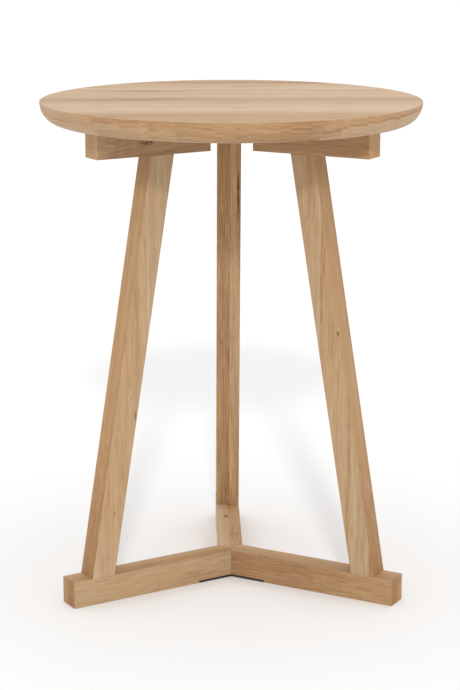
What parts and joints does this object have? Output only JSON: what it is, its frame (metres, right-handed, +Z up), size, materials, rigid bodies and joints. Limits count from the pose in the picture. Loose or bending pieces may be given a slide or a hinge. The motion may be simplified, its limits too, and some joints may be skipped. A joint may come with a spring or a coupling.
{
  "type": "side table",
  "caption": "Round solid oak side table: a thin disc top with an undercut rim on leaning square legs, radial bearers and a three-armed floor base.",
  "frame": {"origin": "on the floor, under the centre of the round top, on the table's vertical axis", "axes": "+Z up; +Y from the front towards the arm that points straight back; +X to the right seen from the front. The top's boards run along X."},
  "size_m": [0.46, 0.46, 0.6],
  "materials": {
    "oak_top": "oiled, satin",
    "oak_frame": "oiled, satin",
    "beech_dowel": "bare, matt",
    "black_steel": "black powder coat",
    "black_screw": "black oxide",
    "zinc_screw": "zinc plated"
  },
  "bodies": {
    "root": {"top_board_1": "oak_top", "top_board_2": "oak_top", "top_board_3": "oak_top", "top_board_4": "oak_top", "top_board_5": "oak_top", "top_board_6": "oak_top", "base_beam_rear": "oak_frame", "leg_rear": "oak_frame", "bearer_rear": "oak_frame", "foot_dowel_rear_a": "beech_dowel", "head_dowel_rear_a": "beech_dowel", "foot_dowel_rear_b": "beech_dowel", "head_dowel_rear_b": "beech_dowel", "plate_screw_rear_inner": "black_screw", "top_screw_rear_inner": "zinc_screw", "plate_screw_rear_outer": "black_screw", "top_screw_rear_outer": "zinc_screw", "base_beam_left": "oak_frame", "leg_left": "oak_frame", "bearer_left": "oak_frame", "foot_dowel_left_a": "beech_dowel", "head_dowel_left_a": "beech_dowel", "foot_dowel_left_b": "beech_dowel", "head_dowel_left_b": "beech_dowel", "plate_screw_left_inner": "black_screw", "top_screw_left_inner": "zinc_screw", "plate_screw_left_outer": "black_screw", "top_screw_left_outer": "zinc_screw", "base_beam_right": "oak_frame", "leg_right": "oak_frame", "bearer_right": "oak_frame", "foot_dowel_right_a": "beech_dowel", "head_dowel_right_a": "beech_dowel", "foot_dowel_right_b": "beech_dowel", "head_dowel_right_b": "beech_dowel", "plate_screw_right_inner": "black_screw", "top_screw_right_inner": "zinc_screw", "plate_screw_right_outer": "black_screw", "top_screw_right_outer": "zinc_screw", "hub_plate": "black_steel"}
  },
  "joints": []
}
